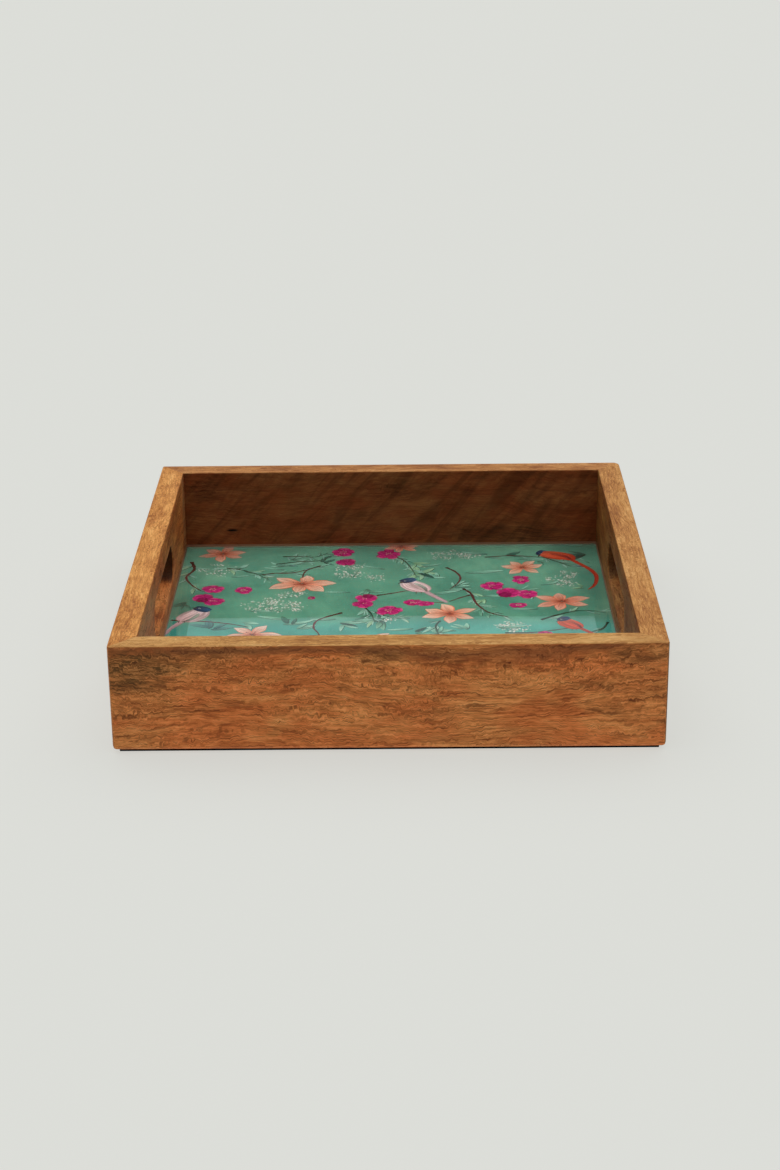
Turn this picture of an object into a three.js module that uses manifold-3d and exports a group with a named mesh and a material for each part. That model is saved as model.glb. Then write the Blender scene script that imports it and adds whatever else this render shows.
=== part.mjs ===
// A square wooden serving tray: four mitred walls, two of them with a hand slot, round a nailed-in
// base board that carries a printed sheet under a poured coat of clear resin.
// Millimetres, +Z up, +Y towards the back. The origin is on the table, under the tray's centre.
import * as THREE from "three";
import { mergeVertices } from "three/addons/utils/BufferGeometryUtils.js";
import Module from "manifold-3d";

const wasm = await Module();
wasm.setup();

// Driving dimensions
const traySide = 305; // outside, wall face to wall face
const wallHeight = 63;
const wallThickness = 15;
const footRound = 3.5; // roundover of the outer bottom edge
const rimRound = 1; // sanded edges of the rim
const cornerRound = 2; // sanded upright corners
const mitreSeam = 0.1; // glue line between two walls
const rebateDepth = 5; // step in the foot of each wall that the base board sits in
const rebateHeight = 8;
const slotLength = 110;
const slotHeight = 24;
const slotRise = 34; // middle of the hand slot above the foot of the wall
const boardThickness = 6;
const sheetThickness = 0.25;
const sheetMargin = 0.4; // bare board between the printed sheet and the wall
const resinTop = 11.5; // above the table
const layerGap = 0.1; // glue between the layers
const boardGap = 0.3; // round the base board
const feltThickness = 1.2;
const nailSides = 12;
const nailPlay = 0.2; // radial room round every nail
const cornerNail = { radius: 0.8, length: 30, headRadius: 1.3, headHeight: 0.9, sink: 2.2 };
const baseNail = { radius: 0.6, length: 15, headRadius: 1.2, headHeight: 0.6, sink: 0 };
const cornerNailRises = [15, 48]; // above the foot of the wall
const baseNailStations = [-100, 0, 100]; // along each wall
const fillerGap = 0.1;

// Worked out from them
const half = traySide / 2;
const innerHalf = half - wallThickness;
const footZ = feltThickness;
const rimZ = footZ + wallHeight;
const boardTop = footZ + rebateHeight - layerGap;
const sheetBottom = boardTop + layerGap;
const resinBottom = sheetBottom + sheetThickness + layerGap;
const wallMiddle = half - wallThickness / 2;
const rebateMiddle = half - wallThickness + rebateDepth / 2;

const colours = {
  frontWood: 0xa8693c,
  sideWood: 0xb87d48,
  backWood: 0x8a5230,
  board: 0xa07a50,
  sheet: 0x4a9b80,
  resin: 0xe8f4ee,
  steel: 0x8d8f90,
  filler: 0x6b4025,
  felt: 0x1d1b1a,
};

function material(colour, roughness, metalness = 0) {
  return new THREE.MeshStandardMaterial({ color: colour, roughness, metalness });
}

// ---- Solids ----------------------------------------------------------------------------------

function toSolid(geometry) {
  const bare = geometry.clone();
  bare.deleteAttribute("normal");
  bare.deleteAttribute("uv");
  const merged = mergeVertices(bare, 1e-4);
  const vertProperties = merged.attributes.position.array;
  const triVerts = new Uint32Array(merged.index.array);
  return new wasm.Manifold(new wasm.Mesh({ numProp: 3, vertProperties, triVerts }));
}

function toGeometry(solid) {
  const mesh = solid.getMesh();
  const geometry = new THREE.BufferGeometry();
  geometry.setAttribute("position", new THREE.BufferAttribute(mesh.vertProperties, 3));
  geometry.setIndex(new THREE.BufferAttribute(mesh.triVerts, 1));
  geometry.computeVertexNormals();
  return geometry;
}

function roundedSquare(halfSide, radius) {
  const s = halfSide;
  const shape = new THREE.Shape();
  shape.moveTo(-s + radius, -s);
  shape.lineTo(s - radius, -s);
  shape.absarc(s - radius, -s + radius, radius, -Math.PI / 2, 0, false);
  shape.lineTo(s, s - radius);
  shape.absarc(s - radius, s - radius, radius, 0, Math.PI / 2, false);
  shape.lineTo(-s + radius, s);
  shape.absarc(-s + radius, s - radius, radius, Math.PI / 2, Math.PI, false);
  shape.lineTo(-s, -s + radius);
  shape.absarc(-s + radius, -s + radius, radius, Math.PI, 1.5 * Math.PI, false);
  return shape;
}

function slab(halfSide, bottom, top) {
  const geometry = new THREE.BoxGeometry(2 * halfSide, 2 * halfSide, top - bottom);
  return geometry.translate(0, 0, (top + bottom) / 2);
}

// ---- Walls -----------------------------------------------------------------------------------

// Section of a wall: x runs inwards from the outer face, y is the height above the foot.
function wallSection() {
  const inside = wallThickness;
  const section = new THREE.Shape();
  section.moveTo(footRound, 0);
  section.lineTo(inside - rebateDepth, 0);
  section.lineTo(inside - rebateDepth, rebateHeight);
  section.lineTo(inside, rebateHeight);
  section.lineTo(inside, wallHeight - rimRound);
  section.absarc(inside - rimRound, wallHeight - rimRound, rimRound, 0, Math.PI / 2, false);
  section.lineTo(rimRound, wallHeight);
  section.absarc(rimRound, wallHeight - rimRound, rimRound, Math.PI / 2, Math.PI, false);
  section.lineTo(0, footRound);
  section.absarc(footRound, footRound, footRound, Math.PI, 1.5 * Math.PI, false);
  return section;
}

// The front wall, lying along X with its outer face at -Y. Each end is cut back by its own
// distance from the outer face, which makes the 45 degree mitre.
function mitredWall() {
  const geometry = new THREE.ExtrudeGeometry(wallSection(), {
    depth: 1,
    steps: 1,
    curveSegments: 6,
    bevelEnabled: false,
  });
  const place = geometry.attributes.position;
  for (let i = 0; i < place.count; i++) {
    const inwards = place.getX(i);
    const end = place.getZ(i) > 0.5 ? 1 : -1;
    place.setXYZ(i, end * (half - inwards - mitreSeam), inwards - half, footZ + place.getY(i));
  }
  const corners = new THREE.ExtrudeGeometry(roundedSquare(half, cornerRound), {
    depth: rimZ + 1,
    curveSegments: 6,
    bevelEnabled: false,
  });
  return toSolid(geometry).intersect(toSolid(corners));
}

// The hand slot's cutter, through a wall that lies along X.
function handSlot() {
  const radius = slotHeight / 2;
  const reach = slotLength / 2 - radius;
  const outline = new THREE.Shape();
  outline.moveTo(-reach, -radius);
  outline.lineTo(reach, -radius);
  outline.absarc(reach, 0, radius, -Math.PI / 2, Math.PI / 2, false);
  outline.lineTo(-reach, radius);
  outline.absarc(-reach, 0, radius, Math.PI / 2, 1.5 * Math.PI, false);
  const geometry = new THREE.ExtrudeGeometry(outline, {
    depth: wallThickness + 4,
    curveSegments: 16,
    bevelEnabled: false,
  });
  geometry.rotateX(Math.PI / 2);
  return geometry.translate(0, 2 + wallThickness - half, footZ + slotRise);
}

// ---- Nails -----------------------------------------------------------------------------------

// A nail standing point up with its head at the bottom, at the origin.
function nailProfile(nail, play = 0) {
  const neck = nail.headHeight + play;
  const head = nail.headRadius + play;
  const shank = nail.radius + play;
  const tip = nail.length + play;
  const bottom = -play;
  return [
    [0, bottom],
    [head, bottom],
    [head, neck],
    [shank, neck],
    [shank, tip - 2 * nail.radius],
    [0, tip],
  ].map(([x, y]) => new THREE.Vector2(x, y));
}

function nailShape(nail, play) {
  const geometry = new THREE.LatheGeometry(nailProfile(nail, play), nailSides);
  return geometry.rotateX(Math.PI / 2);
}

// The mouth of a sunk nail's hole, which the filler closes.
function mouthShape(nail, play, reach) {
  const depth = nail.sink - fillerGap + reach;
  const radius = nail.headRadius + play;
  const geometry = new THREE.CylinderGeometry(radius, radius, depth, nailSides);
  return geometry.rotateX(Math.PI / 2).translate(0, 0, depth / 2 - reach);
}

// Corner nails go in from the two side walls, through the mitre, into the front and back walls.
// Stations give the head's place on the wall face and the turn that points the nail inwards.
const cornerStations = [];
for (const [side, sideName] of [[-1, "left"], [1, "right"]])
  for (const [end, endName] of [[-1, "front"], [1, "back"]])
    cornerNailRises.forEach((rise, i) => {
      cornerStations.push({
        name: `${endName}_${sideName}_${i === 0 ? "lower" : "upper"}`,
        place: new THREE.Vector3(side * half, end * wallMiddle, footZ + rise),
        turn: new THREE.Quaternion().setFromUnitVectors(
          new THREE.Vector3(0, 0, 1),
          new THREE.Vector3(-side, 0, 0),
        ),
      });
    });

// Base nails go up through the board into the ledge above the rebate.
const baseStations = [];
for (const [name, x, y] of [
  ["front", 0, -1],
  ["right", 1, 0],
  ["back", 0, 1],
  ["left", -1, 0],
])
  baseNailStations.forEach((along, i) => {
    baseStations.push({
      name: `${name}_${i + 1}`,
      place: new THREE.Vector3(
        x * rebateMiddle + Math.abs(y) * along,
        y * rebateMiddle + Math.abs(x) * along,
        boardTop - boardThickness,
      ),
      turn: new THREE.Quaternion(),
    });
  });

// Moves a shape made at the origin to a station, sunk that far below the face.
function atStation(geometry, station, sink = 0) {
  const moved = geometry.clone().translate(0, 0, sink);
  return moved.applyQuaternion(station.turn).translate(...station.place.toArray());
}

// The nails drawn as cutters with play round them. The base board's bottom is open, so its
// cutters carry no mouth.
function nailCutters() {
  const cutters = [];
  for (const station of cornerStations) {
    cutters.push(atStation(nailShape(cornerNail, nailPlay), station, cornerNail.sink));
    cutters.push(atStation(mouthShape(cornerNail, nailPlay, 1), station));
  }
  for (const station of baseStations) {
    cutters.push(atStation(nailShape(baseNail, nailPlay), station, baseNail.sink));
  }
  return cutters.map(toSolid);
}

// ---- Assembly --------------------------------------------------------------------------------

const tray = new THREE.Group();
tray.name = "wooden_tray";

function addNode(name, geometry, look) {
  const mesh = new THREE.Mesh(geometry, look);
  mesh.name = name;
  tray.add(mesh);
}

const cutters = nailCutters();

function drilled(solid) {
  return cutters.reduce((rest, cutter) => rest.subtract(cutter), solid);
}

for (const [name, turn, hasSlot, colour] of [
  ["front_wall", 0, false, colours.frontWood],
  ["right_wall", Math.PI / 2, true, colours.sideWood],
  ["back_wall", Math.PI, false, colours.backWood],
  ["left_wall", -Math.PI / 2, true, colours.sideWood],
]) {
  const plain = mitredWall();
  const shaped = hasSlot ? plain.subtract(toSolid(handSlot())) : plain;
  const turned = toSolid(toGeometry(shaped).rotateZ(turn));
  addNode(name, toGeometry(drilled(turned)), material(colour, 0.55));
}

const board = toSolid(
  slab(half - wallThickness + rebateDepth - boardGap, boardTop - boardThickness, boardTop),
);
addNode("base_board", toGeometry(drilled(board)), material(colours.board, 0.7));
addNode(
  "printed_sheet",
  slab(innerHalf - sheetMargin, sheetBottom, sheetBottom + sheetThickness),
  material(colours.sheet, 0.5),
);
addNode("resin_coat", slab(innerHalf - layerGap, resinBottom, resinTop), material(colours.resin, 0.05));

for (const station of cornerStations) {
  addNode(
    `corner_nail_${station.name}`,
    atStation(nailShape(cornerNail), station, cornerNail.sink),
    material(colours.steel, 0.4, 1),
  );
  addNode(
    `filler_plug_${station.name}`,
    atStation(mouthShape(cornerNail, nailPlay - fillerGap, 0), station),
    material(colours.filler, 0.8),
  );
}
for (const station of baseStations) {
  addNode(
    `base_nail_${station.name}`,
    atStation(nailShape(baseNail), station, baseNail.sink),
    material(colours.steel, 0.4, 1),
  );
}

// Felt strips under the flat of each wall's foot; the front and back ones run the whole width.
const feltOuter = half - footRound;
const feltInner = innerHalf + rebateDepth;
const feltWidth = feltOuter - feltInner;
const feltMiddle = (feltOuter + feltInner) / 2;
for (const [name, x, y] of [
  ["front", 0, -1],
  ["right", 1, 0],
  ["back", 0, 1],
  ["left", -1, 0],
]) {
  const sideways = x !== 0;
  const length = 2 * (sideways ? feltInner - layerGap : feltOuter);
  const size = sideways ? [feltWidth, length] : [length, feltWidth];
  const felt = new THREE.BoxGeometry(...size, feltThickness);
  felt.translate(x * feltMiddle, y * feltMiddle, feltThickness / 2);
  addNode(`felt_strip_${name}`, felt, material(colours.felt, 0.95));
}

export default tray;
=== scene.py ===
import math
import random
import bmesh
import bpy
from mathutils import Matrix, Vector


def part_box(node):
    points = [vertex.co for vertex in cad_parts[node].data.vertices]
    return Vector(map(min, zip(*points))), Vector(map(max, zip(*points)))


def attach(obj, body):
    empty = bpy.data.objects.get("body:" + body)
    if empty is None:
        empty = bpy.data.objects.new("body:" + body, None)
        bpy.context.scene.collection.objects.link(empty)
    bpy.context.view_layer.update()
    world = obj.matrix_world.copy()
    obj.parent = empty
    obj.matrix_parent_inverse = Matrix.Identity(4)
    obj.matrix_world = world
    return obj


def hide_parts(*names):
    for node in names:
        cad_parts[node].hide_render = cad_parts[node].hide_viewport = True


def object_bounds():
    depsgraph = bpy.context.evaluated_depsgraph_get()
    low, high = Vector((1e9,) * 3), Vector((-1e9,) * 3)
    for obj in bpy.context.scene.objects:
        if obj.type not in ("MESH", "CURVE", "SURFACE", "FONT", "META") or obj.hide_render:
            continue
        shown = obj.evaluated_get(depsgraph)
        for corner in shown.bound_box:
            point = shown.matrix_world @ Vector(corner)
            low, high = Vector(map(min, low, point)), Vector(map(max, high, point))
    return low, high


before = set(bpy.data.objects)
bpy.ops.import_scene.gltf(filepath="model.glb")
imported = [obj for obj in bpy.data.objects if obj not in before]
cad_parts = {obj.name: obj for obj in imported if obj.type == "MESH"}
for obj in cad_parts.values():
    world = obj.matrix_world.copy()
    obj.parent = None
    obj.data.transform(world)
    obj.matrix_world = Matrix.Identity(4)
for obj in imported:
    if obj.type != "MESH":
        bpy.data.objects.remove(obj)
cadLow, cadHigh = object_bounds()
mm = 0.001
dice = random.Random(41)
print("frame: tray of", [round(v, 4) for v in cadHigh - cadLow])

# camera, in front of the tray and a little above it; angles in degrees
cameraValues = {
    "place": (11.6 * mm, -1241 * mm, 534.5 * mm),
    "pitch": 21.8,  # downwards
    "yaw": -0.53,
    "roll": -0.66,
    "lens": 67.5,
    "clip": (0.05, 60),
}


def addCamera(values):
    pitch, yaw, roll = (math.radians(values[key]) for key in ("pitch", "yaw", "roll"))
    flat = math.cos(pitch)
    ahead = Vector((math.sin(yaw) * flat, math.cos(yaw) * flat, -math.sin(pitch)))
    level = Vector((math.cos(yaw), -math.sin(yaw), 0))
    upright = level.cross(ahead)
    across = math.cos(roll) * level + math.sin(roll) * upright
    up = math.cos(roll) * upright - math.sin(roll) * level
    turned = Matrix((across, up, -ahead)).transposed().to_4x4()
    data = bpy.data.cameras.new("camera")
    data.lens = values["lens"]
    data.clip_start, data.clip_end = values["clip"]
    camera = bpy.data.objects.new("camera", data)
    camera.matrix_world = Matrix.Translation(values["place"]) @ turned
    bpy.context.scene.collection.objects.link(camera)
    bpy.context.scene.camera = camera


addCamera(cameraValues)


# node helpers
def feed(tree, socket, value):
    if isinstance(value, bpy.types.NodeSocket):
        tree.links.new(value, socket)
    else:
        socket.default_value = value


def putNode(tree, kind, inputs=None, **settings):
    node = tree.nodes.new(kind)
    for key, value in settings.items():
        setattr(node, key, value)
    for key, value in (inputs or {}).items():
        feed(tree, node.inputs[key], value)
    return node


def calc(tree, operation, a, b=0.0, clamp=False):
    node = putNode(tree, "ShaderNodeMath", {0: a, 1: b}, operation=operation, use_clamp=clamp)
    return node.outputs[0]


def plus(tree, a, b):
    return calc(tree, "ADD", a, b)


def minus(tree, a, b):
    return calc(tree, "SUBTRACT", a, b)


def times(tree, a, b):
    return calc(tree, "MULTIPLY", a, b)


def weigh(tree, a, shareOfA, b, shareOfB):
    return plus(tree, times(tree, a, shareOfA), times(tree, b, shareOfB))


def calcVector(tree, operation, a, b):
    return putNode(tree, "ShaderNodeVectorMath", {0: a, 1: b}, operation=operation).outputs[0]


def partsOf(tree, vector):
    return putNode(tree, "ShaderNodeSeparateXYZ", {0: vector}).outputs


def grey(tree, value):
    return putNode(tree, "ShaderNodeCombineXYZ", {0: value, 1: value, 2: value}).outputs[0]


# scale is one number, or three that draw the noise out along an axis
def noiseAt(tree, vector, scale, detail=2.0, roughness=0.5, distortion=0.0):
    if isinstance(scale, tuple):
        vector, scale = calcVector(tree, "MULTIPLY", vector, scale), 1.0
    values = {"Vector": vector, "Scale": scale, "Detail": detail}
    values.update({"Roughness": roughness, "Distortion": distortion})
    return putNode(tree, "ShaderNodeTexNoise", values).outputs[0]


def remap(tree, value, low, high, newLow=0.0, newHigh=1.0):
    values = {"Value": value, 1: low, 2: high, 3: newLow, 4: newHigh}
    node = putNode(tree, "ShaderNodeMapRange", values, interpolation_type="SMOOTHSTEP")
    return node.outputs[0]


# each limit is a value, where its fade starts and where the mask is full
def within(tree, *limits):
    mask = 1.0
    for value, start, full in limits:
        mask = times(tree, mask, remap(tree, value, start, full))
    return mask


def ramp(tree, factor, stops):
    node = putNode(tree, "ShaderNodeValToRGB", {0: factor})
    band = node.color_ramp
    while len(band.elements) < len(stops):
        band.elements.new(0.5)
    for element, (place, colour) in zip(band.elements, stops):
        element.position = place
        element.color = (*colour, 1)
    return node.outputs[0]


def blendColours(tree, factor, a, b, kind="MIX"):
    node = putNode(tree, "ShaderNodeMix", data_type="RGBA", blend_type=kind)
    colourSockets = [socket for socket in node.inputs if socket.type == "RGBA"]
    feed(tree, node.inputs[0], factor)
    for socket, value in zip(colourSockets, (a, b)):
        feed(tree, socket, value if isinstance(value, bpy.types.NodeSocket) else (*value, 1))
    return [socket for socket in node.outputs if socket.type == "RGBA"][0]


def tinted(tree, colour, tint):
    return blendColours(tree, 1.0, colour, tint, "MULTIPLY")


def newGroup(name, inputs, outputs):
    tree = bpy.data.node_groups.new(name, "ShaderNodeTree")
    for label, kind, value in inputs:
        socket = tree.interface.new_socket(label, in_out="INPUT", socket_type="NodeSocket" + kind)
        if value is not None:
            socket.default_value = value
    for label, kind in outputs:
        tree.interface.new_socket(label, in_out="OUTPUT", socket_type="NodeSocket" + kind)
    entry = tree.nodes.new("NodeGroupInput").outputs
    end = tree.nodes.new("NodeGroupOutput").inputs
    return tree, entry, end


def placeGroup(tree, group, inputs):
    node = tree.nodes.new("ShaderNodeGroup")
    node.node_tree = group
    for key, value in inputs.items():
        feed(tree, node.inputs[key], value)
    return node.outputs


def newMaterial(name):
    material = bpy.data.materials.new(name)
    material.use_nodes = True
    tree = material.node_tree
    shader = tree.nodes["Principled BSDF"]
    return material, tree, shader


def addBump(tree, shader, height, strength, distance):
    values = {"Height": height, "Strength": strength, "Distance": distance}
    feed(tree, shader.inputs["Normal"], putNode(tree, "ShaderNodeBump", values).outputs[0])


def coordsOf(tree):
    return putNode(tree, "ShaderNodeTexCoord").outputs["Object"]


# place on the object in millimetres
def objectPlace(tree, turn=0.0, shift=(0, 0, 0)):
    values = {"Vector": coordsOf(tree), "Location": shift, "Rotation": (0, 0, turn)}
    values["Scale"] = (1000, 1000, 1000)
    return putNode(tree, "ShaderNodeMapping", values).outputs[0]


# curly wood: x runs along the grain, in millimetres
def curlyWoodGroup():
    tree, entry, end = newGroup(
        "curlyWood",
        [
            ("Vector", "Vector", None),
            ("Wander", "Float", 9.0),
            ("Curl", "Float", 0.9),
            ("Streak Height", "Float", 200.0),
            ("Streak Width", "Float", 4.0),
        ],
        [(label, "Float") for label in ("Tone", "Fibre", "Lines", "Streak", "Height")],
    )
    place = entry["Vector"]
    # slow wander of the layers along the board
    slow = minus(tree, noiseAt(tree, place, (0.009, 0.02, 0.02), 2.0, 0.45), 0.5)
    slow = times(tree, slow, times(tree, entry["Wander"], 4.0))
    # curl: short waves across the grain, shared by neighbouring fibres
    wave = noiseAt(tree, place, (0.20, 0.10, 0.11), 2.0, 0.6)
    zigzag = noiseAt(tree, place, (0.42, 0.25, 0.30), 1.0)
    strength = remap(tree, noiseAt(tree, place, (0.014, 0.03, 0.04), 1.0), 0.35, 0.62, 0.45, 1.2)
    bend = minus(tree, weigh(tree, wave, 6.0, zigzag, 1.9), 3.95)
    bend = times(tree, bend, times(tree, entry["Curl"], strength))
    lift = plus(tree, slow, bend)
    offset = putNode(tree, "ShaderNodeCombineXYZ", {"Y": times(tree, lift, 0.6), "Z": lift})
    warped = calcVector(tree, "ADD", place, offset.outputs[0])
    # broad soft bands of growth and patches of light and dark
    bands = noiseAt(tree, warped, (0.012, 0.09, 0.13), 3.0, 0.6, 0.3)
    blotch = noiseAt(tree, place, (0.05, 0.08, 0.09), 3.0, 0.65)
    feed(tree, end["Tone"], weigh(tree, bands, 0.55, blotch, 0.45))
    # fibres: fine strands that follow the curl
    strand = noiseAt(tree, warped, (0.06, 0.8, 0.75), 3.0, 0.65)
    fine = noiseAt(tree, warped, (0.16, 1.6, 1.7), 2.0, 0.6)
    fibre = weigh(tree, strand, 0.6, fine, 0.4)
    feed(tree, end["Fibre"], fibre)
    # lines: thin dark seams where two layers meet, broken along their run
    acrossGrain = partsOf(tree, warped)
    phase = weigh(tree, acrossGrain[2], 0.36, acrossGrain[1], 0.30)
    drift = noiseAt(tree, warped, (0.010, 0.09, 0.12), 2.0, 0.6)
    phase = plus(tree, phase, times(tree, drift, 5.0))
    breaks = noiseAt(tree, warped, (0.06, 0.30, 0.38), 3.0, 0.65)
    lines = 0.0
    broad, narrow = (1.0, 0.17, 0.44, 0.60, 1.0), (2.13, 0.26, 0.36, 0.56, 0.62)
    for often, width, low, high, weight in (broad, narrow):
        away = minus(tree, calc(tree, "FRACT", times(tree, phase, often)), 0.5)
        seam = remap(tree, calc(tree, "ABSOLUTE", away), width, 0.02)
        seam = times(tree, seam, remap(tree, breaks, low, high, 0.05, weight))
        lines = calc(tree, "MAXIMUM", lines, seam)
    feed(tree, end["Lines"], lines)
    # one long dark streak at a height
    away = calc(tree, "ABSOLUTE", minus(tree, acrossGrain[2], entry["Streak Height"]))
    away = calc(tree, "DIVIDE", away, entry["Streak Width"])
    feed(tree, end["Streak"], calc(tree, "SUBTRACT", 1.0, away, clamp=True))
    feed(tree, end["Height"], minus(tree, times(tree, fibre, 0.35), times(tree, lines, 0.7)))
    return tree


def spotGroup():
    tree, entry, end = newGroup(
        "spot",
        [
            ("Vector", "Vector", None),
            ("Centre", "Vector", (0, 0, 0)),
            ("Size", "Vector", (5, 20, 2)),
            ("Ragged", "Float", 0.3),
        ],
        [("Mask", "Float")],
    )
    away = calcVector(tree, "SUBTRACT", entry["Vector"], entry["Centre"])
    away = calcVector(tree, "DIVIDE", away, entry["Size"])
    reach = putNode(tree, "ShaderNodeVectorMath", {0: away}, operation="LENGTH").outputs["Value"]
    rough = minus(tree, noiseAt(tree, entry["Vector"], (0.12, 0.5, 0.5), 3.0, 0.6), 0.5)
    reach = plus(tree, reach, times(tree, rough, times(tree, entry["Ragged"], 4.0)))
    feed(tree, end["Mask"], remap(tree, reach, 1.0, 0.35))
    return tree


def edgeWearGroup():
    inputs = [("Vector", "Vector", None), ("Width", "Float", 0.0012)]
    tree, entry, end = newGroup("edgeWear", inputs, [("Mask", "Float")])
    bevel = putNode(tree, "ShaderNodeBevel", {"Radius": entry["Width"]}, samples=4).outputs[0]
    normal = putNode(tree, "ShaderNodeNewGeometry").outputs["Normal"]
    turned = putNode(tree, "ShaderNodeVectorMath", {0: bevel, 1: normal}, operation="DOT_PRODUCT")
    edge = remap(tree, turned.outputs["Value"], 0.995, 0.86)
    patchy = remap(tree, noiseAt(tree, entry["Vector"], 0.16, 3.0, 0.6), 0.35, 0.6, 0.25, 1.0)
    feed(tree, end["Mask"], times(tree, edge, patchy))
    return tree


curlyWood = curlyWoodGroup()
spot = spotGroup()
edgeWear = edgeWearGroup()

woodStops = [
    (0.30, (0.200, 0.056, 0.015)),
    (0.40, (0.350, 0.108, 0.026)),
    (0.48, (0.500, 0.172, 0.044)),
    (0.56, (0.640, 0.240, 0.066)),
    (0.68, (0.800, 0.350, 0.110)),
]
rimStops = [
    (0.30, (0.300, 0.110, 0.022)),
    (0.44, (0.520, 0.240, 0.060)),
    (0.56, (0.700, 0.370, 0.105)),
    (0.68, (0.840, 0.510, 0.180)),
]
woodTints = {
    "golden": (1.05, 1.17, 1.22),
    "redder": (0.97, 0.84, 0.80),
    "seam": (0.055, 0.016, 0.005),
    "streak": (0.11, 0.042, 0.016),
    "knot": (0.006, 0.004, 0.003),
    # slotEnd: painted shade for the far end of each hand slot
    "slotEnd": (0.02, 0.007, 0.003),
    # painted highlight: the pale line where the resin's meniscus meets the wood
    "meniscusGlint": (0.50, 0.27, 0.17),
    "rimSeam": (0.26, 0.085, 0.018),
    "worn": (0.56, 0.25, 0.075),
}
knottyTint = (0.104, 0.054, 0.015)
topTint = (0.13, 0.055, 0.020)
resinSide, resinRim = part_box("resin_coat")[1].x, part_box("resin_coat")[1].z
# where marks fade in, in metres, each from where it starts to where it is full
markLimits = {
    "glintOut": (resinSide + 0.0012, resinSide + 0.0006),
    "glintUp": (resinRim + 0.0022, resinRim + 0.0017),
    "slotInner": (0.1378, 0.1384),
    "slotOuter": (0.1515, 0.1505),
    "slotAlong": (0.040, 0.050),
    "slotBelow": (0.049, 0.047),
    "rimUp": (cadHigh.z - 0.004, cadHigh.z - 0.002),
}
slotEnd = 0.056  # along the wall, just past the slot's round end
# turn and shift: what part of the log a wall shows; curl, contrast, strands and lines: its grain;
# gain: how light and how red its faces are, a painted light and shade, brighter at the front,
# darker at the back and right; rim: how light and how red its top edge is; slant: its figure's
# angle;
# slotEnds: how dark the painted shade in its slot's far end is; spots: centre, size, strength and
# tint
wallWood = {
    "front_wall": {
        "turn": 0.0,
        "shift": (0, 0, 0),
        "curl": 0.9,
        "streak": (60, 5),
        "streakDepth": 0.6,
        "spots": [
            ((-138, -150, 53), (40, 60, 13), 1.05, knottyTint),
            ((-142, -150, 41), (24, 60, 6), 1.0, knottyTint),
            ((138, -150, 57), (26, 60, 9), 0.6, knottyTint),
            ((-4, -150, 57), (18, 60, 5), 0.6, knottyTint),
            ((110, -150, 40), (20, 60, 5), 0.45, knottyTint),
            ((-60, -150, 61), (90, 60, 2.6), 0.6, topTint),
            ((80, -150, 62), (70, 60, 2.2), 0.5, topTint),
        ],
        "contrast": 0.55,
        "strands": 0.8,
        "lines": 0.66,
        "gain": (1.38, 1.27, 1.30),
        "rim": (1.04, 1.02, 1.06),
    },
    "back_wall": {
        "turn": 0.0,
        "shift": (430, 0, 90),
        "curl": 0.45,
        "spots": [
            ((352, 137, 137), (18, 8, 7), 0.5, (0.62, 0.17, 0.035)),
            ((308, 137, 142), (16, 8, 12), 0.7, (0.13, 0.030, 0.010)),
            ((490, 137, 148), (34, 8, 7), 0.45, (0.60, 0.16, 0.035)),
            ((510, 137, 108), (55, 8, 12), 0.6, (0.17, 0.085, 0.030)),
            ((430, 137, 140), (26, 8, 9), 0.5, (0.16, 0.050, 0.016)),
        ],
        "knot": ((323.4, 137, 113.5), (5.5, 8, 1.2)),
        "contrast": 0.45,
        "strands": 0.45,
        "lines": 0.3,
        "slant": math.radians(48),
        "gain": (0.60, 0.53, 0.60),
        "rim": (0.92, 0.77, 0.78),
    },
    "left_wall": {
        "turn": -math.pi / 2,
        "shift": (900, 300, 40),
        "curl": 0.55,
        "spots": [
            # pale olive patches on the inner face: painted reflection of the teal print on the
            # shaded wall
            ((1029, 437, 78), (10, 5, 60), 0.7, (0.46, 0.24, 0.12)),
            ((800, 437, 95), (75, 5, 13), 0.75, (0.46, 0.29, 0.13)),
        ],
        "contrast": 0.7,
        "strands": 0.8,
        "lines": 0.66,
        "slotEnds": 0.9,
        "gain": (1.04, 0.99, 0.95),
        "rim": (1.22, 1.05, 0.93),
    },
    "right_wall": {
        "turn": -math.pi / 2,
        "shift": (1500, 620, -160),
        "curl": 0.55,
        "spots": [],
        "contrast": 0.7,
        "strands": 0.8,
        "lines": 0.66,
        "slotEnds": 0.6,
        "gain": (0.59, 0.64, 0.59),
        "rim": (1.00, 0.90, 0.89),
    },
}


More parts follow.
